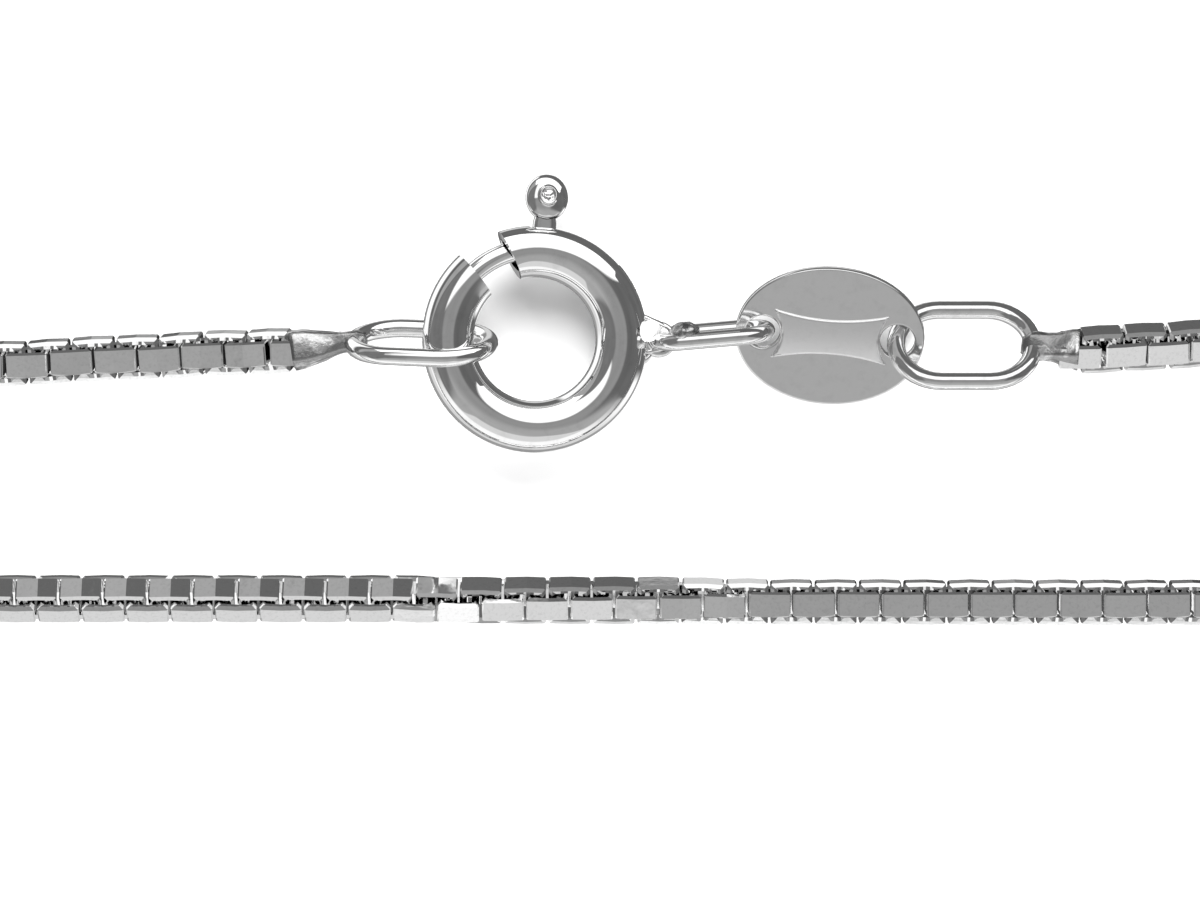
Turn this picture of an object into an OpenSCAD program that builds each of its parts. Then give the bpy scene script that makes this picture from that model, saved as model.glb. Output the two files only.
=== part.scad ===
// Box chain necklace, closed and lying flat. Millimetres, +Z up, the surface at Z = 0.
// The origin is on the surface, midway between the upper and the lower run. +Y is the clasp's side.

/* [Loop] */
// Length of the closed necklace, round the middle of the chain
necklace_len = 457; // [420:1:610]
// Distance between the middles of the upper and the lower run
run_gap = 6.1; // [5.8:0.1:9]
// Radius of the round ends of the loop
lobe_r = 22; // [15:1:30]
// Radius of the bends that open the runs into the round ends
neck_r = 30; // [20:1:40]

/* [Box chain] */
// Width of the chain across its square links
chain_w = 1.0; // [0.8:0.05:1.2]
// Width of the flat strip that the links are bent from
strip_w = 0.55; // [0.4:0.05:0.65]
// Gap between the chain and the solder that it meets
chain_gap = 0.05; // [0.03:0.01:0.1]

/* [Spring ring clasp] */
// Outer diameter of the clasp
clasp_d = 5.5; // [5:0.1:6.5]
// Diameter of the clasp's round tube
tube_d = 1.25; // [1.1:0.05:1.4]
// Thickness of the tube's wall
tube_wall = 0.2; // [0.15:0.01:0.25]
// Degrees that the clasp's left side is raised
clasp_tilt = 9; // [7:1:12]
// Angle of the mouth's upper end round the clasp
mouth_from = 102.5; // [98:0.5:108]
// Angle of the mouth's left end round the clasp
mouth_to = 136.2; // [130:0.2:142]
// Degrees from the outer to the inner corner of the upper end, which is cut askew
upper_skew = 7.8; // [0:0.2:10]
// Degrees from the outer to the inner corner of the left end
left_skew = 4.2; // [0:0.2:8]
// Outer diameter of the clasp's fixed eye
eye_d = 1.26; // [1.2:0.02:1.4]
// Thickness of the eye's wire
eye_wire = 0.24; // [0.2:0.01:0.26]
// Depth that the eye's outline reaches into the tube, where it is soldered
eye_sink = 0.3; // [0.22:0.01:0.32]

/* [Latch] */
// Diameter of the tongue that slides in the tube
tongue_d = 0.42; // [0.34:0.02:0.5]
// Distance that the tongue runs outside the middle of the tube
tongue_shift = 0.06; // [0:0.01:0.08]
// Angle of the trigger round the clasp
trigger_at = 85.2; // [80:0.2:90]
// Angle that the trigger is drawn back through to open the mouth
draw_angle = 38; // [36:1:40]
// Angle that the tongue reaches into the mouth's left end
catch_angle = 4; // [3:0.5:6]
// Angle that the tongue runs on behind the trigger
tail_angle = 18; // [10:1:24]
// Width of the trigger's stem
stem_w = 0.52; // [0.4:0.02:0.6]
// Thickness of the trigger's stem
stem_t = 0.34; // [0.24:0.02:0.4]
// Gap between the stem and the sides and ends of its slot
slot_gap = 0.06; // [0.04:0.01:0.1]
// Diameter of the trigger's knob
knob_d = 1.0; // [0.8:0.05:1.2]
// Gap between the tube and the knob, bridged by the stem
knob_gap = 0.28; // [0.15:0.01:0.4]
// Radius of the dimple in the knob
dimple_r = 0.36; // [0.2:0.02:0.4]
// Depth of the dimple
dimple_depth = 0.14; // [0.05:0.01:0.2]

/* [End rings] */
// Outer length of the oval rings at the chain's ends
ring_len = 3.77; // [3.6:0.05:4.2]
// Outer width of those rings
ring_w = 2.6; // [2.55:0.05:2.8]
// Thickness of their wire
ring_wire = 0.44; // [0.38:0.02:0.46]
// Degrees that the left ring stands up from the surface
left_lean = 70.2; // [68:0.2:75]
// Degrees that the right ring stands up from the surface
right_lean = 35.6; // [34:0.2:40]
// Degrees that the left ring is turned in plan
left_turn = -2.5; // [-4:0.5:0]
// Gap between the left ring's end and the tube that it holds
ring_play = 0.16; // [0.12:0.01:0.24]
// Length of the solder cap between the left ring and the chain
left_cap_len = 1.44; // [1.2:0.02:1.8]
// Length of the solder cap between the right ring and the chain
right_cap_len = 1.06; // [0.9:0.02:1.6]
// Width of a cap where it holds its ring
cap_tip_w = 0.6; // [0.4:0.05:0.8]
// Thickness of the solder round a ring's wire
solder_t = 0.05; // [0.02:0.01:0.1]

/* [Eye link] */
// Outer length of the small oval link between the clasp and the tag
link_len = 3.07; // [3:0.01:3.2]
// Outer width of the small link
link_w = 1.75; // [1.7:0.05:1.9]
// Thickness of its wire
link_wire = 0.42; // [0.34:0.02:0.44]
// Degrees that the small link stands up from the surface
link_lean = 80; // [76:1:84]
// Degrees that the small link is turned in plan
link_turn = 5; // [3:0.5:7]
// Gap between the clasp's eye and the link's bar under it
eye_gap = 0.07; // [0.04:0.01:0.12]

/* [Tag] */
// Length of the oval tag
tag_len = 4.6; // [4.5:0.05:5]
// Width of the oval tag
tag_w = 3.53; // [3.3:0.05:3.8]
// Thickness of the tag
tag_t = 0.22; // [0.16:0.01:0.26]
// Degrees that the tag's far edge is raised
tag_tilt = 22; // [20:1:25]
// Degrees that the tag is turned in plan
tag_turn = -4; // [-6:0.5:-2]
// Diameter of the tag's two holes
hole_d = 0.84; // [0.8:0.02:0.96]
// Metal left between a hole and the end of the tag
hole_rim = 0.24; // [0.2:0.01:0.3]
// Length of the raised panel on the tag
panel_len = 2.9; // [2.4:0.05:3]
// Height of the panel at its ends
panel_w = 1.32; // [1:0.02:1.5]
// Depth that each long side of the panel is drawn in
panel_waist = 0.21; // [0.1:0.01:0.3]
// Height that the panel stands above the tag
panel_rise = 0.03; // [0.02:0.01:0.06]

/* [Hidden] */
$fn = 64;
metal = [0.86, 0.87, 0.88];
solder_metal = [0.78, 0.78, 0.78];
// Clearance that keeps each resting piece just off the surface
seat = 0.02;

// Clasp: its place, and radii round its middle. The eye lies on the small link's lower bar.
tube_r = tube_d / 2;
ring_r = (clasp_d - tube_d) / 2;
eye_at = clasp_d / 2 + eye_d / 2 - eye_sink;
eye_r = (eye_d - eye_wire) / 2;
clasp_x = -1.577;
clasp_y = run_gap / 2 + 0.25;
clasp_z = link_wire + eye_wire / 2 + eye_gap + (eye_at + eye_r) * sin(clasp_tilt);
bore_r = tube_r - tube_wall;
tongue_r = ring_r + tongue_shift;
slot_h = stem_t + 2 * slot_gap;
stem_angle = stem_w / 2 / (clasp_d / 2 - tube_wall) * 180 / PI;
gap_angle = slot_gap / ring_r * 180 / PI;
knob_at = clasp_d / 2 + knob_gap + knob_d / 2;

// Small link: it stands on the surface, with its left end through the clasp's eye
link_bow = (link_w - link_wire) / 2;
link_half = (link_len - link_w) / 2;
link_z = link_bow * sin(link_lean) + link_wire / 2;
eye_place = [clasp_x + eye_at * cos(clasp_tilt), clasp_y, clasp_z - eye_at * sin(clasp_tilt)];
link_reach = sqrt(link_bow * link_bow - pow(link_z - eye_place.z, 2)) + link_half;
link_place = [eye_place.x + link_reach - 0.04,
              clasp_y + link_reach * sin(link_turn) - 0.01,
              link_z];

// Tag: its near edge rests on the surface, and its left hole holds the small link's right end
hole_at = tag_len / 2 - hole_rim - hole_d / 2;
tag_z = tag_w / 2 * sin(tag_tilt) + tag_t / 2 * cos(tag_tilt) + seat / 2;
link_catch = sqrt(link_bow * link_bow - pow(link_z - tag_z, 2)) + link_half;
tag_place = [link_place.x + link_catch + hole_at - 0.09, clasp_y + 0.097, tag_z];

// End rings: the left one holds the clasp's tube, the right one goes through the tag's right hole
ring_bow = (ring_w - ring_wire) / 2;
ring_half = (ring_len - ring_w) / 2;
tube_x = clasp_x - ring_r * cos(clasp_tilt);
tube_z = clasp_z + ring_r * sin(clasp_tilt);
left_x = tube_x + tube_r + ring_play + ring_wire - ring_len / 2;
left_slope = atan((tube_z - ring_bow * sin(left_lean) - ring_wire / 2 - seat)
                  / (tube_x - left_x + ring_half));
left_place = [left_x, clasp_y - 0.1, tube_z - (tube_x - left_x) * tan(left_slope)];
right_place = [tag_place.x + hole_at + ring_half + ring_bow - 0.04,
               run_gap / 2 + 0.1,
               ring_bow * sin(right_lean) + ring_wire / 2 + seat];
ring_tip = (ring_len - ring_wire) / 2;
left_tip_x = left_place.x - ring_tip * cos(left_slope);
right_tip_x = right_place.x + ring_tip;

// Loop: two straight runs, four bends and two round ends, of the necklace's length in all
run_y = run_gap / 2;
neck_turn = acos((run_y + neck_r) / (neck_r + lobe_r));
lobe_turn = 90 + neck_turn;
bends_len = (4 * neck_r * neck_turn + 4 * lobe_r * lobe_turn) * PI / 180;
run_half = (necklace_len - bends_len) / 4;
lobe_x = run_half + (neck_r + lobe_r) * sin(neck_turn);
neck_steps = 4;
lobe_steps = 16;

// Chosen stations along each half of the runs, counted from the middle of the photo's view.
// Columns: distance from the middle along X, shift in Y, degrees that the face on the loop's inside
// is turned up, lift above the surface.
left_upper = [[-left_tip_x + left_cap_len + chain_gap, -0.02, -10, 0.3],
              [9.3, -0.07, -10, 0.12], [11, -0.17, -10, 0], [15, -0.34, -10, 0],
              [22, -0.25, -4, 0], [30, 0, 0, 0]];
left_lower = [[30, 0, 0, 0], [22, 0.04, -15, 0], [15, 0.04, -33, 0], [5, 0.04, -34, 0],
              [3.8, 0.02, -43, 0], [2.4, 0, -57, 0], [0, 0, -64, 0]];
right_upper = [[right_tip_x + right_cap_len + chain_gap, 0, -117, 0.2],
               [13.4, 0.08, -117, 0.06], [15, 0.18, -117, 0], [22, 0.16, -100, 0], [30, 0, -90, 0]];
right_lower = [[30, 0, -90, 0], [22, -0.05, -87, 0], [15, -0.05, -82, 0], [4.4, -0.04, -82, 0],
               [3, -0.02, -75, 0], [1.6, 0, -68, 0], [0, 0, -64, 0]];

// Height of the chain's middle when it rests on the surface, turned by that angle
function rest_z(turn) = let (c = abs(cos(turn)), s = abs(sin(turn)))
    max(chain_w * c + strip_w * s, strip_w * c + chain_w * s) / 2;

function run_points(side, rows, level) = [for (row = rows)
    [side * row[0], level + row[1], rest_z(row[2]) + row[3], row[2]]];

// The bend and round end beyond one run's end, from the upper run round to the lower run
function bend_points(side, turn) = let (z = rest_z(turn)) concat(
    [for (i = [0 : neck_steps - 1]) let (a = neck_turn * i / neck_steps)
        [side * (run_half + neck_r * sin(a)), run_y + neck_r * (1 - cos(a)), z, turn]],
    [for (i = [0 : lobe_steps]) let (a = lobe_turn * (1 - 2 * i / lobe_steps))
        [side * (lobe_x + lobe_r * cos(a)), lobe_r * sin(a), z, turn]],
    [for (i = [neck_steps - 1 : -1 : 0]) let (a = neck_turn * i / neck_steps)
        [side * (run_half + neck_r * sin(a)), -run_y - neck_r * (1 - cos(a)), z, turn]]);

function half_route(side, upper, lower) = concat(
    run_points(side, upper, run_y),
    bend_points(side, lower[0][2]),
    run_points(side, lower, -run_y));

left_route = half_route(-1, left_upper, left_lower);
right_route = half_route(1, right_upper, right_lower);

function place_of(p) = [p[0], p[1], p[2]];
function unit(v) = v / norm(v);

// Direction of the chain at a station: the two ends look along their own first or last stretch
function heading(route, i) =
    let (last = len(route) - 1, before = max(i - 1, 0), after = min(i + 1, last))
    i == last ? [route[i][0] > route[i - 1][0] ? 1 : -1, 0, 0]
              : unit(place_of(route[after]) - place_of(route[before]));

// Corners of the chain's section, the outline of square links set crosswise
section = let (a = chain_w / 2, b = strip_w / 2)
    [[a, b], [b, a], [-b, a], [-a, b], [-a, -b], [-b, -a], [b, -a], [a, -b]];

function ring_at(route, i, side) =
    let (along = heading(route, i), across = unit(cross([0, 0, 1], along)), up = cross(along, across),
         turn = -side * route[i][3])
    [for (p = section) place_of(route[i])
        + across * (p.x * cos(turn) - p.y * sin(turn))
        + up * (p.x * sin(turn) + p.y * cos(turn))];

module chain_half(route, side) {
    n = len(section);
    last = len(route) - 1;
    points = [for (i = [0 : last]) each ring_at(route, i, side)];
    sides = [for (i = [0 : last - 1], j = [0 : n - 1])
        [i * n + j, (i + 1) * n + j, (i + 1) * n + (j + 1) % n, i * n + (j + 1) % n]];
    start = [for (j = [0 : n - 1]) j];
    finish = [for (j = [n - 1 : -1 : 0]) last * n + j];
    polyhedron(points, concat([start], sides, [finish]), convexity = 10);
}

module chain_left() color(metal) chain_half(left_route, -1);

module chain_right() color(metal) chain_half(right_route, 1);

module torus(middle_r, wire_r) rotate_extrude() translate([middle_r, 0]) circle(r = wire_r);

// A closed oval of round wire: two half rings joined by two straight bars
module oval_wire(length, width, wire) {
    half = (length - width) / 2;
    bow = (width - wire) / 2;
    for (end = [0, 180])
        rotate([0, 0, end]) {
            translate([half, 0, 0]) rotate([0, 0, -90]) rotate_extrude(angle = 180)
                translate([bow, 0]) circle(d = wire);
            translate([-half, bow, 0]) rotate([0, 90, 0]) cylinder(d = wire, h = 2 * half);
        }
}

// Tapered solder cap, from the chain's first ring of corners to a collar round the ring's end
module solder_cap(route, side) {
    along = heading(route, 0);
    back = -along * chain_gap;
    corners = [for (p = ring_at(route, 0, side)) p + back];
    inner = [for (p = corners) p - along * chain_w / 5];
    hull() {
        polyhedron(concat(corners, inner), [[7, 6, 5, 4, 3, 2, 1, 0], [8, 9, 10, 11, 12, 13, 14, 15],
            for (j = [0 : 7]) [j, (j + 1) % 8, 8 + (j + 1) % 8, 8 + j]]);
        children();
    }
}

module collar() rotate([90, 0, 0])
    cylinder(d = ring_wire + 2 * solder_t, h = cap_tip_w, center = true, $fn = 24);

module end_ring_left() color(metal) {
    translate(left_place) rotate([0, 0, left_turn]) rotate([0, -left_slope, 0])
        rotate([-left_lean, 0, 0]) oval_wire(ring_len, ring_w, ring_wire);
    color(solder_metal) solder_cap(left_route, -1)
        translate(left_place) rotate([0, 0, left_turn]) rotate([0, -left_slope, 0])
            translate([-ring_tip, 0, 0]) rotate([-left_lean, 0, 0]) collar();
}

module end_ring_right() color(metal) {
    translate(right_place) rotate([-right_lean, 0, 0]) oval_wire(ring_len, ring_w, ring_wire);
    color(solder_metal) solder_cap(right_route, 1)
        translate(right_place) translate([ring_tip, 0, 0]) rotate([-right_lean, 0, 0]) collar();
}

module at_clasp() translate([clasp_x, clasp_y, clasp_z]) rotate([0, clasp_tilt, 0]) children();

function polar(r, a) = [r * cos(a), r * sin(a)];

// The mouth between the tube's two ends, each cut a little askew
module mouth() {
    inner = ring_r - tube_d;
    outer = ring_r + tube_d;
    linear_extrude(tube_d * 2, center = true) polygon([
        polar(outer, mouth_from + upper_skew), polar(inner, mouth_from - upper_skew),
        polar(inner, mouth_to + left_skew), polar(outer, mouth_to - left_skew)]);
}

// The slot in the tube's outer wall that the stem is drawn back along
module slot() {
    reach = stem_angle + gap_angle;
    rotate([0, 0, trigger_at - draw_angle - reach]) rotate_extrude(angle = draw_angle + 2 * reach)
        translate([ring_r, -slot_h / 2]) square([tube_d, slot_h]);
}

module clasp_body() color(metal) at_clasp() difference() {
    union() {
        torus(ring_r, tube_r);
        translate([eye_at, 0, 0]) torus(eye_r, eye_wire / 2);
    }
    torus(ring_r, bore_r);
    mouth();
    slot();
}

module clasp_latch() color(metal) at_clasp() {
    tongue_from = trigger_at - tail_angle;
    rotate([0, 0, tongue_from]) rotate_extrude(angle = mouth_to + catch_angle - tongue_from)
        translate([tongue_r, 0]) circle(d = tongue_d);
    rotate([0, 0, trigger_at]) {
        translate([tongue_r, -stem_w / 2, -stem_t / 2])
            cube([knob_at - tongue_r, stem_w, stem_t]);
        translate([knob_at, 0, 0]) difference() {
            sphere(d = knob_d);
            for (face = [-1, 1])
                translate([0, 0, face * (knob_d / 2 + dimple_r - dimple_depth)]) sphere(r = dimple_r);
        }
    }
}

module eye_link() color(metal)
    translate(link_place) rotate([-link_lean, 0, link_turn]) oval_wire(link_len, link_w, link_wire);

// The panel's outline: a rectangle with its four sides drawn in
module panel_outline() {
    half = panel_len / 2;
    bow = (half * half + panel_waist * panel_waist) / (2 * panel_waist);
    difference() {
        square([panel_len, panel_w], center = true);
        for (side = [-1, 1])
            translate([0, side * (panel_w / 2 - panel_waist + bow)]) circle(r = bow, $fn = 180);
    }
}

module tag() color(metal) translate(tag_place) rotate([tag_tilt, 0, tag_turn]) difference() {
    union() {
        linear_extrude(tag_t, center = true)
            polygon([for (a = [0 : 5 : 355]) [tag_len / 2 * cos(a), tag_w / 2 * sin(a)]]);
        linear_extrude(tag_t / 2 + panel_rise) panel_outline();
    }
    for (side = [-1, 1])
        translate([side * hole_at, 0, 0]) cylinder(d = hole_d, h = 1, center = true);
}

chain_left();
chain_right();
end_ring_left();
end_ring_right();
clasp_body();
clasp_latch();
eye_link();
tag();
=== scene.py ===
"""A fine box chain necklace in polished white metal, lying closed on a pale surface."""

import math
import random

import bmesh
import bpy
from mathutils import Matrix, Vector, noise


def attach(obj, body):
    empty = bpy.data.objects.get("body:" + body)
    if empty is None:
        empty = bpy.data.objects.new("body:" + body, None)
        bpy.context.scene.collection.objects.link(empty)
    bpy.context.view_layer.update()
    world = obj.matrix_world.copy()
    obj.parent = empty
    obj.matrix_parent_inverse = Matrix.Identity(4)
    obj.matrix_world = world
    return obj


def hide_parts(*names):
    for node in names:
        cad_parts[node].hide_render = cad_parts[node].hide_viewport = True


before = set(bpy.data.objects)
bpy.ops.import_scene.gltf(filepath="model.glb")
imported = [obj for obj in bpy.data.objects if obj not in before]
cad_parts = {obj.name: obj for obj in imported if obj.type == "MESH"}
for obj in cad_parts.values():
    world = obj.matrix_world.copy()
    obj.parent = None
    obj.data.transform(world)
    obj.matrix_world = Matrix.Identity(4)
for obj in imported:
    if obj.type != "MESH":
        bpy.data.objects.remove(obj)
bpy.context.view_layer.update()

# The view: the photo looks straight down from far off on the stretch with the clasp. The camera
# hangs over the middle of the picture, and 29.3 mm of the necklace fill the picture's width.
mm = 0.001
picture_width = 29.34 * mm
picture_middle = Vector((0.0, 0.61 * mm, 0.0))
lens_length = 180.0
sensor_width = 36.0
camera_data = bpy.data.cameras.new("camera")
camera_data.lens = lens_length
camera_data.sensor_width = sensor_width
camera_data.clip_start = 5 * mm
camera_data.clip_end = 10.0
camera = bpy.data.objects.new("camera", camera_data)
camera.location = picture_middle + Vector((0, 0, picture_width * lens_length / sensor_width))
bpy.context.scene.collection.objects.link(camera)
bpy.context.scene.camera = camera
bpy.context.scene.view_settings.view_transform = "Standard"


# The surroundings: a studio with a grey ceiling, dark walls, a softbox above its far side and a
# white table all round. Polished metal shows little but these, so their edges are what draws it.
class Signal:
    """A socket of a shader tree. Arithmetic on it adds Math nodes."""

    def __init__(self, tree, socket):
        self.tree = tree
        self.socket = socket

    def math(self, operation, *values):
        return self.tree.add("ShaderNodeMath", {"operation": operation}, dict(enumerate(values)))

    def __add__(self, other):
        return self.math("ADD", self, other)

    def __radd__(self, other):
        return self.math("ADD", other, self)

    def __sub__(self, other):
        return self.math("SUBTRACT", self, other)

    def __rsub__(self, other):
        return self.math("SUBTRACT", other, self)

    def __mul__(self, other):
        return self.math("MULTIPLY", self, other)

    def __rmul__(self, other):
        return self.math("MULTIPLY", other, self)

    def __truediv__(self, other):
        return self.math("DIVIDE", self, other)

    def rise(self, low, high):
        """0 below low, 1 above high, and a smooth rise between them."""
        return self.tree.add("ShaderNodeMapRange", {"interpolation_type": "SMOOTHSTEP"},
                             {"Value": self, "From Min": low, "From Max": high})

    def between(self, low, high, soft):
        """1 from low to high, and 0 outside, with soft edges."""
        return self.rise(low - soft, low + soft) * (1 - self.rise(high - soft, high + soft))


class Tree:
    """The shader tree of a material or of the world, filled through one method."""

    def __init__(self, owner):
        owner.use_nodes = True
        self.nodes = owner.node_tree.nodes
        self.links = owner.node_tree.links
        self.nodes.clear()

    def add(self, kind, settings=None, inputs=None, output=0):
        """Adds a node, with its settings set first, and returns one of its outputs."""
        node = self.nodes.new(kind)
        for name, value in (settings or {}).items():
            setattr(node, name, value)
        for name, value in (inputs or {}).items():
            if isinstance(value, Signal):
                self.links.new(value.socket, node.inputs[name])
            else:
                node.inputs[name].default_value = value
        return Signal(self, node.outputs[output]) if len(node.outputs) else None


world = bpy.data.worlds.new("studio")
bpy.context.scene.world = world
studio = Tree(world)
towards = studio.add("ShaderNodeTexCoord", output=0)
east, north, height = (studio.add("ShaderNodeSeparateXYZ", {}, {"Vector": towards}, output)
                       for output in range(3))
above = height.math("MAXIMUM", height, 0.02)
level_squared = 1.0001 - height * height
level = level_squared.math("SQRT", level_squared)
over_north = north / above
over_east = east / above
aside = over_east.math("ABSOLUTE", over_east)
skew = east - east.math("MINIMUM", east, 0.0) * height.rise(-0.25, -0.08)
near_side = (-1 * (north + 0.35 * skew) / level).rise(0.1, 0.7)
near_middle = (-1 * north / level).rise(0.75, 0.92)
far_side = ((north + east) / level).rise(0.55, 0.75)

# A grey ceiling with two dark side walls and a dark far wall, and one softbox above the far side.
white = 1.45
ceiling_tone = 0.35
wall_tone = 0.17
folds = studio.add("ShaderNodeTexNoise", {}, {"Vector": towards, "Scale": 2.2, "Detail": 2.0})
ceiling = (ceiling_tone + 0.14 * (-1 * over_north).rise(0.1, 0.5)) * (0.85 + 0.3 * folds)
side_wall = aside.rise(0.38, 0.58) * (over_north + 0.7 * aside - 0.15 * over_east).rise(-0.2, 0.2)
far_wall = over_north.rise(1.5, 1.7)
walls = side_wall.math("MAXIMUM", side_wall, far_wall)
west = (-1 * over_east).rise(0.1, 0.22) * height.rise(0.0, 0.1)
wall = (wall_tone + (0.05 + 0.26 * far_wall) * west) * (0.7 + 0.6 * folds)
softbox = (over_north.between(0.30, 1.6, 0.05) * over_east.between(-0.55, 2.4, 0.08)
           * (over_north - 0.55 * over_east).rise(-0.05, 0.05) * height.rise(0.0, 0.04))
upper = ceiling + (wall - ceiling) * walls
upper = upper + (white - upper) * softbox

# The white table all round. It is seen from lower down towards the far side, it goes grey close
# round the necklace, and right under it only its near right part has light.
near_part = near_side * (1 - (height - 0.34 * near_middle).rise(0.28, 0.36))
side_part = (1 - near_side) * (1 - far_side) * (1 - height.rise(-0.32, -0.16))
far_part = far_side * (1 - height.rise(-0.74, -0.66))
near_tone = 0.88 + 0.42 * height.between(-0.3, 0.27, 0.07)
near_tone = near_tone - 0.46 * height.between(-0.93, -0.62, 0.04)
side_tone = white - 1.1 * (1 - height.rise(-0.78, -0.66))
far_tone = 0.85 - 0.65 * (east / level).rise(0.15, 0.45)
brightness = (upper * (1 - near_part - side_part - far_part) + near_part * near_tone
              + side_part * side_tone + far_part * far_tone)
under_tone = 1.3
under_shade = 0.88
under = 1 - height.rise(-0.98, -0.9)
near_east = east.rise(0.0, 0.03) * (-1 * north).rise(0.0, 0.02)
brightness = brightness * (1 - under_shade * under) + under_tone * under * near_east
backdrop = studio.add("ShaderNodeBackground", {}, {"Strength": brightness})
studio.add("ShaderNodeOutputWorld", {}, {"Surface": backdrop})

# Three lamps for what isn't polished: the board, and the white solder at the clasp's eye. The low
# one from the near side clears the shadows outside the clasp, and the tube keeps it out of the
# hole. Columns: name, strength, and spread and lean in degrees.
lamps = (("key_light", 3.7, 36, -44), ("low_light", 6.2, 20, 68), ("sky_light", 1.0, 150, 0))
for name, energy, spread, lean in lamps:
    lamp_data = bpy.data.lights.new(name, "SUN")
    lamp_data.energy = energy
    lamp_data.angle = math.radians(spread)
    lamp = bpy.data.objects.new(name, lamp_data)
    lamp.rotation_euler = (math.radians(lean), 0, 0)
    lamp.visible_glossy = False
    lamp.visible_camera = False
    bpy.context.scene.collection.objects.link(lamp)

# A low softbox beyond the far side that only some of the clasp's pieces and its left ring show.
# They are linked to it at the end of the script.
low_glow = 1.2
low_long = 1.0
low_tall = 0.34
low_distance = 0.6
low_towards = Vector((0.25, 0.92, 0.31))
hardware = bpy.data.collections.new("hardware")
low_data = bpy.data.lights.new("low_softbox", "AREA")
low_data.shape = "RECTANGLE"
low_data.size = low_long
low_data.size_y = low_tall
low_data.energy = low_glow * math.pi * low_data.size * low_data.size_y
low_softbox = bpy.data.objects.new("low_softbox", low_data)
low_softbox.location = low_distance * low_towards
low_softbox.rotation_euler = low_softbox.location.to_track_quat("Z", "Y").to_euler()
low_softbox.visible_camera = False
low_softbox.light_linking.receiver_collection = hardware
bpy.context.scene.collection.objects.link(low_softbox)

# The floor: a plain pale board that the necklace lies on. It is part of the stage.
floor_size = 4.0
board = bmesh.new()
bmesh.ops.create_grid(board, x_segments=1, y_segments=1, size=floor_size / 2)
floor_mesh = bpy.data.meshes.new("floor")
board.to_mesh(floor_mesh)
board.free()
floor = bpy.data.objects.new("floor", floor_mesh)
bpy.context.scene.collection.objects.link(floor)
floor.visible_glossy = False
pale = bpy.data.materials.new("pale_board")
board_tree = Tree(pale)
board_shader = board_tree.add("ShaderNodeBsdfDiffuse", {}, {"Color": (0.9, 0.9, 0.9, 1)})
board_tree.add("ShaderNodeOutputMaterial", {}, {"Surface": board_shader})
floor_mesh.materials.append(pale)


# The box chain: about 810 links, each a flat strip of white metal bent to a rounded square and
# soldered shut, every other one turned a quarter round. The chain is rolled a little as it lies,
# and the roll changes along the lower run, where it is slowly twisted.
necklace_len = 457 * mm
run_gap = 6.1 * mm
lobe_r = 22 * mm
neck_r = 30 * mm
chain_w = 1.0 * mm
link_long = 1.015 * mm
strip_w = 0.62 * mm
strip_t = 0.18 * mm
strip_bulge = 0.05 * mm
crease_at = 0.04 * mm
crease_rise = 0.02 * mm
link_corner = 0.04 * mm
corner_slack = 0.02 * mm
outline_w = 0.55 * mm
link_pitch = 0.54 * mm
loose_turn = 0.9
left_end_x = 7.514 * mm
right_end_x = 11.681 * mm

# Stations as they lie from the middle of the view outwards. Columns: distance along X in mm,
# shift in Y in mm, degrees that the face on the loop's inside is turned up, lift in mm.
left_upper = [(left_end_x / mm, -0.02, -10, 0.3), (9.3, -0.07, -10, 0.12), (11, -0.17, -10, 0),
              (15, -0.34, -10, 0), (22, -0.25, -4, 0), (30, 0, 0, 0)]
left_lower = [(30, 0, 0, 0), (22, 0.04, -15, 0), (15, 0.04, -33, 0), (5, 0.04, -34, 0),
              (3.8, 0.02, -43, 0), (2.4, 0, -57, 0), (0, 0, -64, 0)]
right_upper = [(right_end_x / mm, 0, -117, 0.2), (13.4, 0.08, -117, 0.06), (15, 0.18, -117, 0),
               (22, 0.16, -100, 0), (30, 0, -90, 0)]
right_lower = [(30, 0, -90, 0), (22, -0.05, -87, 0), (15, -0.05, -82, 0), (4.4, -0.04, -82, 0),
               (3, -0.02, -75, 0), (1.6, 0, -68, 0), (0, 0, -64, 0)]

run_y = run_gap / 2
neck_turn = math.acos((run_y + neck_r) / (neck_r + lobe_r))
lobe_turn = math.pi / 2 + neck_turn
run_half = (necklace_len - 4 * neck_r * neck_turn - 4 * lobe_r * lobe_turn) / 4
lobe_x = run_half + (neck_r + lobe_r) * math.sin(neck_turn)


def rest_height(turn):
    """Height of the chain's middle when it lies on the surface, turned by that many degrees."""
    flat = abs(math.cos(math.radians(turn)))
    steep = abs(math.sin(math.radians(turn)))
    return max(chain_w * flat + outline_w * steep, outline_w * flat + chain_w * steep) / 2


def eased(share):
    """A share from 0 to 1, made to start and end gently."""
    return share * share * (3 - 2 * share)


def run_point(side, level_y, along, shift, turn, lift):
    """A point of a run with the turn there, from the four numbers of a station."""
    return Vector((side * along * mm, level_y + shift * mm, rest_height(turn) + lift * mm)), turn


def run_course(side, stations, level_y, finer=24):
    """Points along a run, with a smooth change from each station to the next."""
    course = []
    for here, there in zip(stations, stations[1:]):
        for step in range(finer):
            share = step / finer
            along = here[0] + (there[0] - here[0]) * share
            rest = [a + (b - a) * eased(share) for a, b in zip(here[1:], there[1:])]
            course.append(run_point(side, level_y, along, *rest))
    course.append(run_point(side, level_y, *stations[-1]))
    return course


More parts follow.
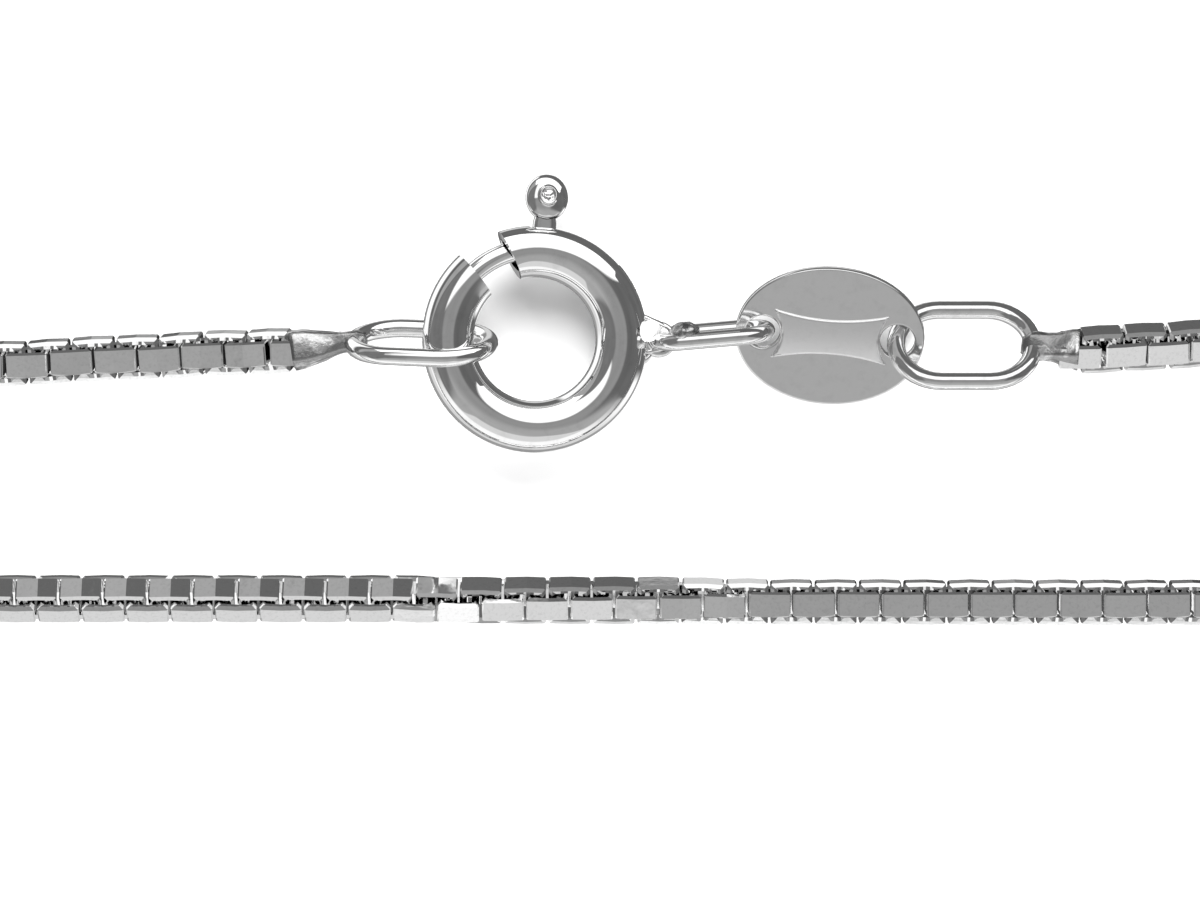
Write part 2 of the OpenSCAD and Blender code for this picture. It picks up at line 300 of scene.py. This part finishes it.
def bend_course(side, turn, finer=120):
    """Points round one end of the loop, from the upper run to the lower run."""
    height_there = rest_height(turn)
    upper_neck = [(side * (run_half + neck_r * math.sin(neck_turn * i / finer)),
                   run_y + neck_r * (1 - math.cos(neck_turn * i / finer)))
                  for i in range(finer)]
    lobe = [(side * (lobe_x + lobe_r * math.cos(lobe_turn * (1 - 2 * i / (3 * finer)))),
             lobe_r * math.sin(lobe_turn * (1 - 2 * i / (3 * finer))))
            for i in range(3 * finer + 1)]
    lower_neck = [(x, -y) for x, y in reversed(upper_neck)]
    return [(Vector((x, y, height_there)), turn) for x, y in upper_neck + lobe + lower_neck]


def half_course(side, upper, lower):
    """One half of the loop, from its end at the clasp to the middle of the lower run."""
    return (run_course(side, upper, run_y) + bend_course(side, lower[0][2])
            + run_course(side, lower, -run_y))


left_course = half_course(-1, left_upper, left_lower)
right_course = half_course(1, right_upper, right_lower)
course = left_course + list(reversed(right_course))[1:]
travelled = [0.0]
for (before, _), (after, _) in zip(course, course[1:]):
    travelled.append(travelled[-1] + (after - before).length)
left_length = travelled[len(left_course) - 1]


def place_on_chain(distance):
    """Place and directions of the chain at a distance from its clasp end, going round the loop."""
    low, high = 0, len(travelled) - 1
    while high - low > 1:
        middle = (low + high) // 2
        if travelled[middle] <= distance:
            low = middle
        else:
            high = middle
    share = (distance - travelled[low]) / (travelled[high] - travelled[low])
    at = course[low][0].lerp(course[high][0], share)
    turn = math.radians(course[low][1] + (course[high][1] - course[low][1]) * share)
    first, last = max(low - 2, 0), min(high + 2, len(course) - 1)
    along = (course[last][0] - course[first][0]).normalized()
    inward = Vector((0, 0, 1)).cross(along).normalized()
    up = along.cross(inward)
    face = inward * math.cos(turn) + up * math.sin(turn)
    crown = up * math.cos(turn) - inward * math.sin(turn)
    return at, along, face, crown


def verts_among(parts):
    """The points among the parts that an operator hands back."""
    return [part for part in parts if isinstance(part, bmesh.types.BMVert)]


def edges_among(parts):
    return [part for part in parts if isinstance(part, bmesh.types.BMEdge)]


def link_mesh():
    """One square link, lying in the XY plane: four walls with crisp corners and ridged edges, and
    a slight crease across the two long ones."""
    form = bmesh.new()
    bmesh.ops.create_cube(form, size=1.0)
    bmesh.ops.scale(form, vec=(link_long, chain_w, strip_w - 2 * strip_bulge), verts=form.verts)
    ends = [face for face in form.faces if abs(face.normal.z) > 0.5]
    bmesh.ops.delete(form, geom=ends, context="FACES_ONLY")
    cut = bmesh.ops.bisect_plane(form, geom=form.verts[:] + form.edges[:] + form.faces[:],
                                 plane_co=(crease_at, 0, 0), plane_no=(1, 0, 0))["geom_cut"]
    for vert in verts_among(cut):
        vert.co.y += math.copysign(crease_rise, vert.co.y)
    bmesh.ops.solidify(form, geom=form.faces[:], thickness=strip_t)
    across_rim = [edge for edge in form.edges
                  if len([face for face in edge.link_faces if abs(face.normal.z) > 0.5]) == 2]
    ridge = bmesh.ops.subdivide_edges(form, edges=across_rim, cuts=1)["geom_inner"]
    for vert in verts_among(ridge):
        vert.co.z += math.copysign(strip_bulge, vert.co.z)
    corners = [edge for edge in form.edges
               if abs(edge.verts[0].co.z - edge.verts[1].co.z) > strip_w / 2
               and all(abs(abs(vert.co.x) - link_long / 2) < corner_slack for vert in edge.verts)
               and all(abs(abs(vert.co.y) - chain_w / 2) < corner_slack for vert in edge.verts)]
    bmesh.ops.bevel(form, geom=corners, offset=link_corner, segments=1, profile=0.5,
                    affect="EDGES", material=-1)
    bmesh.ops.recalc_face_normals(form, faces=form.faces)
    mesh = bpy.data.meshes.new("link")
    form.to_mesh(mesh)
    form.free()
    return mesh


link = link_mesh()
link_steps = round((travelled[-1] - chain_w) / link_pitch)
pitch = (travelled[-1] - chain_w) / link_steps
jostle = random.Random(7)


def set_link(links, number):
    """Adds the link of that number to a mesh, in its place on the course."""
    at, along, face, crown = place_on_chain(chain_w / 2 + number * pitch)
    if number % 2:
        face, crown = crown, -face
    place = Matrix.Identity(4)
    for column, direction in enumerate((along, face, crown, at)):
        place.col[column][0:3] = direction
    for axis in "XYZ":
        loose = math.radians(jostle.uniform(-loose_turn, loose_turn))
        place = place @ Matrix.Rotation(loose, 4, axis)
    links.from_mesh(link)
    links.verts.ensure_lookup_table()
    bmesh.ops.transform(links, matrix=place, verts=links.verts[-len(link.vertices):])


def shown_piece(name, form, smooth=False):
    """Makes an object of a finished form, with all its faces shaded smooth where that is asked."""
    if smooth:
        for face in form.faces:
            face.smooth = True
    mesh = bpy.data.meshes.new(name)
    form.to_mesh(mesh)
    form.free()
    piece = bpy.data.objects.new(name, mesh)
    bpy.context.scene.collection.objects.link(piece)
    return piece


def chain_piece(name, first, last):
    """A length of chain, from the link numbered first up to the one before last."""
    links = bmesh.new()
    for number in range(first, last):
        set_link(links, number)
    return shown_piece(name, links)


half_way = round((left_length - chain_w / 2) / pitch)
links_left = chain_piece("box_links_left", 0, half_way)
links_right = chain_piece("box_links_right", half_way, link_steps + 1)


def polished_metal(name, tint, shade, gloss, wave, wave_size):
    """White metal off the polishing wheel: mirror-like, with faint waves, fine wipe marks and a
    trace of a greyer film where the wheel missed."""
    material = bpy.data.materials.new(name)
    tree = Tree(material)
    here = tree.add("ShaderNodeTexCoord", output=3)
    waves = tree.add("ShaderNodeTexNoise", {}, {"Vector": here, "Scale": 1 / wave_size,
                                                "Detail": 2.0, "Roughness": 0.4})
    wiped = tree.add("ShaderNodeTexNoise", {}, {"Vector": here, "Scale": 4 / wave_size,
                                                "Detail": 5.0, "Roughness": 0.6})
    film = wiped.rise(0.45, 0.75)
    tone = tree.add("ShaderNodeMix", {"data_type": "RGBA"}, {6: tint, 7: shade, 0: film}, 2)
    relief = tree.add("ShaderNodeBump", {}, {"Height": waves, "Distance": wave,
                                             "Strength": 1.0})
    shader = tree.add("ShaderNodeBsdfPrincipled", {},
                      {"Base Color": tone, "Metallic": 1.0, "Normal": relief,
                       "Roughness": gloss + 0.05 * film})
    tree.add("ShaderNodeOutputMaterial", {}, {"Surface": shader})
    return material


chain_metal = polished_metal("polished_chain", (0.95, 0.95, 0.95, 1), (0.86, 0.86, 0.86, 1),
                             0.05, 0.004 * mm, 0.35 * mm)
for links, node in ((links_left, "chain_left"), (links_right, "chain_right")):
    links.data.materials.append(chain_metal)
    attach(links, "necklace")
    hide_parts(node)


# The end rings: two oval jump rings of round white metal wire, bent round posts and soldered shut.
# The clasp's tube goes through the left one, and the right one goes through the tag.
ring_len = 3.77 * mm
ring_w = 2.6 * mm
ring_wire = 0.44 * mm
ring_half = (ring_len - ring_w) / 2
ring_bow = (ring_w - ring_wire) / 2
ring_tip = (ring_len - ring_wire) / 2
left_ring_place = (Matrix.Translation(Vector((-4.336, 3.20, 1.373)) * mm)
                   @ Matrix.Rotation(math.radians(-2.5), 4, "Z")
                   @ Matrix.Rotation(math.radians(-11.26), 4, "Y"))
right_ring_place = Matrix.Translation(Vector((8.860, 3.15, 0.869)) * mm)
left_ring_lean = math.radians(-70.2)
right_ring_lean = math.radians(-35.6)
merge_within = 0.002 * mm


def oval_wire(name, half, bow, wire, place):
    """A closed oval of round wire, bent round two posts and soldered."""
    form = bmesh.new()
    made = bmesh.ops.create_circle(form, segments=24, radius=wire / 2)["verts"]
    start = Matrix.Translation((half, -bow, 0)) @ Matrix.Rotation(math.pi / 2, 4, "Y")
    bmesh.ops.transform(form, matrix=start, verts=made)
    edges = form.edges[:]
    for side in (1, -1):
        spun = bmesh.ops.spin(form, geom=edges, cent=(side * half, 0, 0), axis=(0, 0, 1),
                              angle=math.pi, steps=20)["geom_last"]
        grown = bmesh.ops.extrude_edge_only(form, edges=edges_among(spun))["geom"]
        edges = edges_among(grown)
        bmesh.ops.translate(form, vec=(-2 * side * half, 0, 0), verts=verts_among(grown))
    bmesh.ops.remove_doubles(form, verts=form.verts, dist=merge_within)
    bmesh.ops.recalc_face_normals(form, faces=form.faces)
    bmesh.ops.transform(form, matrix=place, verts=form.verts)
    return shown_piece(name, form, smooth=True)


wire_metal = polished_metal("polished_wire", (0.95, 0.95, 0.95, 1), (0.84, 0.84, 0.84, 1),
                            0.04, 0.006 * mm, 0.9 * mm)
rings = []
for side, place, lean in (("left", left_ring_place, left_ring_lean),
                          ("right", right_ring_place, right_ring_lean)):
    ring = oval_wire("jump_ring_" + side, ring_half, ring_bow, ring_wire,
                     place @ Matrix.Rotation(lean, 4, "X"))
    ring.data.materials.append(wire_metal)
    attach(ring, "necklace")
    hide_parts("end_ring_" + side)
    rings.append(ring)


# The solder caps: the last link of each half is sunk in a tapered lump of solder that runs on to
# the end ring. The lumps are filed roughly flat and left with a sandy skin, part bright, part grey.
solder_bright = (0.92, 0.92, 0.92, 1)
solder_grey = (0.42, 0.42, 0.42, 1)
sand_per_mm = 9
sand_depth = 0.014 * mm
patches_per_mm = 2.4
cap_rough = 0.022 * mm


def soldered_metal(name):
    """Solder that was filed and not polished: bright metal with a sandy relief and grey patches."""
    material = bpy.data.materials.new(name)
    tree = Tree(material)
    here = tree.add("ShaderNodeTexCoord", output=3)
    sand = tree.add("ShaderNodeTexNoise", {}, {"Vector": here, "Scale": sand_per_mm / mm,
                                               "Detail": 4.0, "Roughness": 0.7})
    patches = tree.add("ShaderNodeTexNoise", {}, {"Vector": here, "Scale": patches_per_mm / mm,
                                                  "Detail": 2.0}).rise(0.36, 0.54)
    tone = tree.add("ShaderNodeMix", {"data_type": "RGBA"},
                    {6: solder_bright, 7: solder_grey, 0: patches}, 2)
    relief = tree.add("ShaderNodeBump", {}, {"Height": sand, "Distance": sand_depth,
                                             "Strength": 1.0})
    shader = tree.add("ShaderNodeBsdfPrincipled", {},
                      {"Base Color": tone, "Metallic": 1.0, "Normal": relief,
                       "Roughness": 0.07 + 0.16 * patches})
    tree.add("ShaderNodeOutputMaterial", {}, {"Surface": shader})
    return material


def solder_lump(name, sections, rough):
    """A lump lofted through sections, each a place with its half width and half height, and with a
    skin that is lumpy by about as much as rough says."""
    form = bmesh.new()
    edges = None
    for place, half_width, half_height in sections:
        shape = place @ Matrix.Diagonal((1, half_width, half_height, 1))
        if edges is None:
            verts = bmesh.ops.create_circle(form, segments=14, radius=1)["verts"]
            bmesh.ops.rotate(form, cent=(0, 0, 0), matrix=Matrix.Rotation(math.pi / 2, 3, "Y"),
                             verts=verts)
            edges = form.edges[:]
            bmesh.ops.contextual_create(form, geom=edges)
        else:
            grown = bmesh.ops.extrude_edge_only(form, edges=edges)["geom"]
            verts = verts_among(grown)
            edges = edges_among(grown)
            bmesh.ops.transform(form, matrix=last.inverted(), verts=verts)
        for vert in verts:
            fullness = (abs(vert.co.y) ** 5 + abs(vert.co.z) ** 5) ** 0.2
            vert.co.yz = vert.co.yz / fullness
        bmesh.ops.transform(form, matrix=shape, verts=verts)
        last = shape
    bmesh.ops.contextual_create(form, geom=edges)
    bmesh.ops.recalc_face_normals(form, faces=form.faces)
    bmesh.ops.subdivide_edges(form, edges=form.edges, cuts=2, use_grid_fill=True)
    form.normal_update()
    for vert in form.verts:
        swell = noise.noise(vert.co / (0.32 * mm)) + 0.45 * noise.noise(vert.co / (0.12 * mm))
        vert.co += vert.normal * swell * rough
    return shown_piece(name, form, smooth=True)


# A cap tapers from the chain to the ring, and its roll dies out on the way. Columns of its sizes:
# share of the way, half width and half height in mm.
solder_metal = soldered_metal("sandy_solder")
left_cap_from = Vector((-7.464, 3.03, 0.96)) * mm
left_cap_to = left_ring_place @ Vector((-ring_tip, 0, 0))
left_cap_roll = math.radians(-10)
left_cap_sizes = ((0.0, 0.47, 0.47), (0.22, 0.45, 0.44), (0.5, 0.36, 0.38), (0.75, 0.27, 0.34),
                  (0.93, 0.25, 0.33), (1.08, 0.24, 0.3), (1.2, 0.14, 0.2))
right_cap_from = Vector((11.631, 3.05, 0.93)) * mm
right_cap_to = right_ring_place @ Vector((ring_tip, 0, 0))
right_cap_roll = math.radians(27)
right_cap_sizes = ((0.0, 0.46, 0.46), (0.25, 0.42, 0.4), (0.5, 0.34, 0.33), (0.72, 0.34, 0.28),
                   (0.93, 0.36, 0.27), (1.08, 0.33, 0.26), (1.25, 0.2, 0.18))
for side, cap_from, cap_to, cap_roll, cap_sizes in (
        ("left", left_cap_from, left_cap_to, left_cap_roll, left_cap_sizes),
        ("right", right_cap_from, right_cap_to, right_cap_roll, right_cap_sizes)):
    span = cap_to - cap_from
    heading = span.to_track_quat("X", "Z").to_matrix().to_4x4()
    sections = []
    for share, half_width, half_height in cap_sizes:
        roll = Matrix.Rotation(cap_roll * (1 - share), 4, "X")
        sections.append((Matrix.Translation(cap_from + share * span) @ heading @ roll,
                         half_width * mm, half_height * mm))
    cap = solder_lump("solder_cap_" + side, sections, cap_rough)
    cap.data.materials.append(solder_metal)
    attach(cap, "necklace")
    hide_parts("end_ring_" + side)
    sunk = bmesh.new()
    set_link(sunk, -1 if side == "left" else link_steps + 1)
    sunk_link = shown_piece("sunk_link_" + side, sunk)
    sunk_link.data.materials.append(chain_metal)
    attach(sunk_link, "necklace")
    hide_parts("end_ring_" + side)


# The spring ring clasp: a tube bent to a ring, left open at the mouth, with a slot in its outer
# wall for the trigger. A small wire eye is soldered to its side, and the solder runs out in a
# ball and three fillets. The small oval link hangs in the eye, with a bead of solder on its joint.
clasp_d = 5.5 * mm
tube_d = 1.25 * mm
tube_wall = 0.2 * mm
ring_r = (clasp_d - tube_d) / 2
crisp_angle = math.radians(40)
slot_from = 40.3
slot_to = 92.1
slot_h = 0.46 * mm
eye_d = 0.88 * mm
eye_wire = 0.2 * mm
eye_at = 3.04 * mm
clasp_lean = math.radians(9)
clasp_place = (Matrix.Translation(Vector((-1.577, 3.30, 1.1716)) * mm)
               @ Matrix.Rotation(clasp_lean, 4, "Y"))
clasp_metal = polished_metal("polished_clasp", (0.95, 0.95, 0.95, 1), (0.86, 0.86, 0.86, 1),
                             0.03, 0.01 * mm, 1.6 * mm)

# The tube is bent with a small gap, and its two ends are then cut off askew. Angles round the
# clasp are in degrees. Columns of a mouth end: its angle, and how far its cut is askew.
mouth_ends = ((102.5, 7.8), (136.2, -4.2))
mouth_middle = 119
half_gap = 8
cosine_near_cut = 0.92


def on_clasp(radius, degrees):
    """A point in the clasp's own plane, at a radius and an angle round its middle."""
    return Vector((radius * math.cos(math.radians(degrees)),
                   radius * math.sin(math.radians(degrees)), 0))


def in_slot(face):
    """Whether a face of the tube's wall is one that the slot takes away."""
    middle = face.calc_center_median()
    turned = math.degrees(math.atan2(middle.y, middle.x))
    return (slot_from < turned < slot_to and abs(middle.z) < slot_h / 2
            and middle.xy.length > ring_r)


tube = bmesh.new()
section = bmesh.ops.create_circle(tube, segments=48, radius=tube_d / 2)["verts"]
tube_start = (Matrix.Rotation(math.radians(mouth_middle + half_gap), 4, "Z")
              @ Matrix.Translation((ring_r, 0, 0)) @ Matrix.Rotation(math.pi / 2, 4, "X"))
bmesh.ops.transform(tube, matrix=tube_start, verts=section)
bmesh.ops.spin(tube, geom=tube.edges[:], cent=(0, 0, 0), axis=(0, 0, 1),
               angle=math.radians(360 - 2 * half_gap), steps=172)
bmesh.ops.recalc_face_normals(tube, faces=tube.faces)
for degrees, askew in mouth_ends:
    outer = on_clasp(ring_r + tube_d, degrees + askew)
    inner = on_clasp(ring_r - tube_d, degrees - askew)
    cut_normal = (outer - inner).cross(Vector((0, 0, 1)))
    if cut_normal.dot(on_clasp(ring_r, mouth_middle) - outer) < 0:
        cut_normal.negate()
    towards_end = on_clasp(1, degrees)
    near = [face for face in tube.faces
            if towards_end.dot(face.calc_center_median().normalized()) > cosine_near_cut]
    near_edges = list(dict.fromkeys(edge for face in near for edge in face.edges))
    near_verts = list(dict.fromkeys(vert for face in near for vert in face.verts))
    bmesh.ops.bisect_plane(tube, geom=near + near_edges + near_verts, plane_co=outer,
                           plane_no=cut_normal, clear_outer=True)
bmesh.ops.delete(tube, geom=[face for face in tube.faces if in_slot(face)], context="FACES")
bmesh.ops.solidify(tube, geom=tube.faces[:], thickness=tube_wall)
bmesh.ops.transform(tube, matrix=clasp_place, verts=tube.verts)
for edge in tube.edges:
    edge.smooth = edge.calc_face_angle(0) < crisp_angle
clasp_tube = shown_piece("clasp_tube", tube, smooth=True)

eye = bmesh.new()
eye_section = bmesh.ops.create_circle(eye, segments=20, radius=eye_wire / 2)["verts"]
eye_start = (Matrix.Translation((eye_at + (eye_d - eye_wire) / 2, 0, 0))
             @ Matrix.Rotation(math.pi / 2, 4, "X"))
bmesh.ops.transform(eye, matrix=eye_start, verts=eye_section)
bmesh.ops.spin(eye, geom=eye.edges[:], cent=(eye_at, 0, 0), axis=(0, 0, 1), angle=2 * math.pi,
               steps=48, use_merge=True)
bmesh.ops.remove_doubles(eye, verts=eye.verts, dist=merge_within)
bmesh.ops.recalc_face_normals(eye, faces=eye.faces)
bmesh.ops.transform(eye, matrix=clasp_place, verts=eye.verts)
clasp_eye = shown_piece("clasp_eye", eye, smooth=True)
for piece in (clasp_tube, clasp_eye):
    piece.data.materials.append(clasp_metal)
    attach(piece, "necklace")
    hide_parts("clasp_body")

eye_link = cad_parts["eye_link"]
eye_link.data.materials.clear()
eye_link.data.materials.append(wire_metal)

# Solder at the eye: a rough bead on the link's joint, and in the clasp's own plane a ball that the
# acid bath left white and matt, and three fillets that were polished with the tube. Columns of a
# drop: its place, its half lengths and its turn, in mm and degrees.
bead_drops = (((2.05, 3.45, 1.40), (0.37, 0.27, 0.36), 5),)
ball_drops = (((2.80, 0.20, 0.24), (0.27, 0.26, 0.27), 0),
              ((3.12, 0.17, 0.16), (0.13, 0.09, 0.12), 0))
fillet_drops = (((2.97, 0.40, 0.0), (0.44, 0.09, 0.13), -26),
                ((3.00, -0.25, 0.0), (0.40, 0.09, 0.12), 12),
                ((2.76, -0.45, -0.05), (0.25, 0.07, 0.13), 42))


def solder_drops(name, drops, base, lump_size, lump_height, bands):
    """Drops of solder run together, with a lumpy skin."""
    puddle = bmesh.new()
    for place, size, turn in drops:
        drop = bmesh.ops.create_uvsphere(puddle, u_segments=32, v_segments=bands,
                                         radius=mm)["verts"]
        shape = (base @ Matrix.Translation(Vector(place) * mm)
                 @ Matrix.Rotation(math.radians(turn), 4, "Z") @ Matrix.Diagonal((*size, 1)))
        bmesh.ops.transform(puddle, matrix=shape, verts=drop)
    puddle.normal_update()
    for vert in puddle.verts:
        vert.co += vert.normal * noise.noise(vert.co / lump_size) * lump_height
    return shown_piece(name, puddle, smooth=True)


link_solder = solder_drops("link_solder", bead_drops, Matrix.Identity(4), 0.16 * mm, 0.05 * mm, 20)
link_solder.data.materials.append(solder_metal)
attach(link_solder, "necklace")

matt_solder = bpy.data.materials.new("pickled_solder")
matt_tree = Tree(matt_solder)
matt_shader = matt_tree.add("ShaderNodeBsdfPrincipled", {},
                            {"Base Color": (0.93, 0.93, 0.93, 1), "Metallic": 0.25,
                             "Roughness": 0.32})
matt_tree.add("ShaderNodeOutputMaterial", {}, {"Surface": matt_shader})
solder_ball = solder_drops("solder_ball", ball_drops, clasp_place, 0.25 * mm, 0.02 * mm, 18)
eye_solder = solder_drops("eye_solder", fillet_drops, clasp_place, 0.25 * mm, 0.02 * mm, 18)
for piece, metal in ((solder_ball, matt_solder), (eye_solder, wire_metal)):
    piece.data.materials.append(metal)
    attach(piece, "necklace")


# The latch: a round tongue that slides in the tube and closes the mouth, and its trigger, a short
# stem with a knob that has a rough dimple. It is cast and polished in one piece.
tongue_d = 0.5 * mm
tongue_r = ring_r + 0.06 * mm
tongue_from = math.radians(67.2)
tongue_to = math.radians(140.2)
trigger_at = math.radians(85.2)
knob_d = 1.05 * mm
knob_at = clasp_d / 2 + 0.17 * mm + knob_d / 2
knob_tall = 0.53
knob_long = 1.1
knob_lean = math.radians(10)
stem_w = 0.57 * mm
stem_t = 0.34 * mm
stem_round = 0.14 * mm
stem_from = tongue_r
stem_to = knob_at - 0.3 * knob_d
waist_from = clasp_d / 2 + 0.1 * mm
waist_depth = 0.12
boss_r = 0.18 * mm
boss_rise = 0.065 * mm
boss_flank = 0.08 * mm
dimple_r = 0.14 * mm
dimple_flank = 0.4 * dimple_r
dimple_depth = 0.07 * mm
pit_size = 0.05 * mm
pit_depth = 0.3

tongue = bmesh.new()
tip = bmesh.ops.create_circle(tongue, cap_ends=True, segments=24, radius=tongue_d / 2)["verts"]
upright = Matrix.Translation((tongue_r, 0, 0)) @ Matrix.Rotation(math.pi / 2, 4, "X")
bmesh.ops.transform(tongue, matrix=Matrix.Rotation(tongue_from, 4, "Z") @ upright, verts=tip)
bmesh.ops.spin(tongue, geom=tongue.faces[:], cent=(0, 0, 0), axis=(0, 0, 1),
               angle=tongue_to - tongue_from, steps=48)
bmesh.ops.remove_doubles(tongue, verts=tongue.verts, dist=merge_within)
bmesh.ops.recalc_face_normals(tongue, faces=tongue.faces)
bmesh.ops.transform(tongue, matrix=clasp_place, verts=tongue.verts)
for face in tongue.faces:
    face.smooth = len(face.verts) == 4
latch_tongue = shown_piece("latch_tongue", tongue)

trigger = bmesh.new()
stem = bmesh.ops.create_cube(trigger, size=1.0)["verts"]
bmesh.ops.scale(trigger, vec=(stem_to - stem_from, stem_w, stem_t), verts=stem)
bmesh.ops.translate(trigger, vec=((stem_from + stem_to) / 2, 0, 0), verts=stem)
bmesh.ops.bevel(trigger, geom=trigger.edges[:], offset=stem_round, segments=5, profile=0.5,
                affect="EDGES", material=-1)
bmesh.ops.subdivide_edges(trigger, edges=trigger.edges[:], cuts=3, use_grid_fill=True)
for vert in trigger.verts:
    beyond = max((vert.co.x - waist_from) / (stem_to - waist_from), 0)
    vert.co.y *= 1 - waist_depth * math.sin(math.pi * beyond)
knob = bmesh.ops.create_uvsphere(trigger, u_segments=48, v_segments=96,
                                 radius=knob_d / 2)["verts"]
for vert in knob:
    out = math.hypot(vert.co.x, vert.co.y)
    top = vert.co.z > 0
    vert.co.z *= knob_tall
    if top and out < boss_r + boss_flank:
        share = min(1, (boss_r + boss_flank - out) / boss_flank)
        vert.co.z += boss_rise * eased(share)
    if top and out < dimple_r + dimple_flank:
        share = min(1, (dimple_r + dimple_flank - out) / dimple_flank)
        pits = noise.noise(vert.co / pit_size) * pit_depth
        vert.co.z -= dimple_depth * eased(share) * (1 + pits)
    vert.co.x = vert.co.x * knob_long + knob_at
bmesh.ops.rotate(trigger, cent=(knob_at, 0, 0), matrix=Matrix.Rotation(knob_lean, 3, "Y"),
                 verts=knob)
bmesh.ops.transform(trigger, matrix=clasp_place @ Matrix.Rotation(trigger_at, 4, "Z"),
                    verts=trigger.verts)
latch_trigger = shown_piece("latch_trigger", trigger, smooth=True)
for piece in (latch_tongue, latch_trigger):
    piece.data.materials.append(clasp_metal)
    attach(piece, "latch")
    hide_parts("clasp_latch")


# The tag: a flat oval stamped from white metal sheet, with a rounded edge, a hole at each end for
# the eye link and the right end ring, and a low satin panel with drawn-in sides on a polished face.
tag_len = 4.6 * mm
tag_w = 3.53 * mm
tag_t = 0.22 * mm
tag_round = 0.05 * mm
hole_r = 0.42 * mm
hole_at = 1.64 * mm
panel_half = 1.45 * mm
panel_w = 1.32 * mm
panel_waist = 0.21 * mm
panel_bite = 0.26 * mm
panel_rise = 0.08 * mm
panel_crown = 0.04 * mm
panel_round = 0.07 * mm
tag_turn = math.radians(-4)
tag_lean = math.radians(22)
tag_place = (Matrix.Translation(Vector((5.595, 3.397, 0.773)) * mm)
             @ Matrix.Rotation(tag_turn, 4, "Z") @ Matrix.Rotation(tag_lean, 4, "X"))


def stamped_plate(name, outline, holes, low, high, round_off, crown=0.0, strips=8):
    """A plate between two heights, of an outline and holes, with its edges rounded. A crown drops
    its top along the two long sides, in strips from the middle out."""
    form = bmesh.new()
    for loop in [outline] + holes:
        verts = [form.verts.new((x, y, low)) for x, y in loop]
        for a, b in zip(verts, verts[1:] + verts[:1]):
            form.edges.new((a, b))
    bmesh.ops.triangle_fill(form, use_beauty=True, edges=form.edges[:])
    grown = bmesh.ops.extrude_face_region(form, geom=form.faces[:])["geom"]
    bmesh.ops.translate(form, vec=(0, 0, high - low), verts=verts_among(grown))
    bmesh.ops.recalc_face_normals(form, faces=form.faces)
    corners = [edge for edge in form.edges
               if edge.calc_face_angle(0) > math.radians(60)]
    bmesh.ops.bevel(form, geom=corners, offset=round_off, segments=4, profile=0.5,
                    affect="EDGES", material=-1)
    if crown:
        reach = max(vert.co.y for vert in form.verts)
        for strip in range(1 - strips, strips):
            bmesh.ops.bisect_plane(form, geom=form.verts[:] + form.edges[:] + form.faces[:],
                                   plane_co=(0, reach * strip / strips, 0), plane_no=(0, 1, 0))
        for vert in form.verts:
            if vert.co.z > (low + high) / 2:
                vert.co.z -= crown * (vert.co.y / reach) ** 2
    form.normal_update()
    for face in form.faces:
        face.smooth = abs(face.normal.z) < 0.985
    bmesh.ops.transform(form, matrix=tag_place, verts=form.verts)
    return shown_piece(name, form)


def oval_points(centre_x, half_len, half_w, count):
    """Points of an oval that lies lengthwise on the X axis."""
    return [(centre_x + half_len * math.cos(2 * math.pi * i / count),
             half_w * math.sin(2 * math.pi * i / count)) for i in range(count)]


def arc_side(start, end, sag, count):
    """Points of a side drawn in by its sag, from its start up to just before its end."""
    start, end = Vector(start), Vector(end)
    inward = -(start + end).normalized()
    return [start.lerp(end, i / count) + inward * sag * (1 - (2 * i / count - 1) ** 2)
            for i in range(count)]


plate_outline = oval_points(0, tag_len / 2, tag_w / 2, 96)
plate_holes = [oval_points(side * hole_at, hole_r, hole_r, 40) for side in (-1, 1)]
plate = stamped_plate("tag_plate", plate_outline, plate_holes, -tag_t / 2, tag_t / 2, tag_round)
corners = [(panel_half, panel_w / 2), (-panel_half, panel_w / 2), (-panel_half, -panel_w / 2),
           (panel_half, -panel_w / 2)]
sags = (panel_waist, panel_bite, panel_waist, panel_bite)
panel_outline = []
for start, end, sag in zip(corners, corners[1:] + corners[:1], sags):
    panel_outline += [tuple(point) for point in arc_side(start, end, sag, 16)]
panel = stamped_plate("tag_panel", panel_outline, [], 0, tag_t / 2 + panel_rise, panel_round,
                      panel_crown)
tag_metal = polished_metal("polished_tag", (0.93, 0.93, 0.93, 1), (0.86, 0.86, 0.86, 1),
                           0.09, 0.006 * mm, 1.2 * mm)
panel_metal = polished_metal("satin_panel", (0.95, 0.95, 0.95, 1), (0.9, 0.9, 0.9, 1),
                             0.3, 0.004 * mm, 0.8 * mm)
for piece, metal in ((plate, tag_metal), (panel, panel_metal)):
    piece.data.materials.append(metal)
    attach(piece, "necklace")
    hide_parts("tag")

# The pieces that show the low softbox.
for piece in (clasp_tube, clasp_eye, latch_tongue, latch_trigger, eye_solder, rings[0], panel):
    hardware.objects.link(piece)
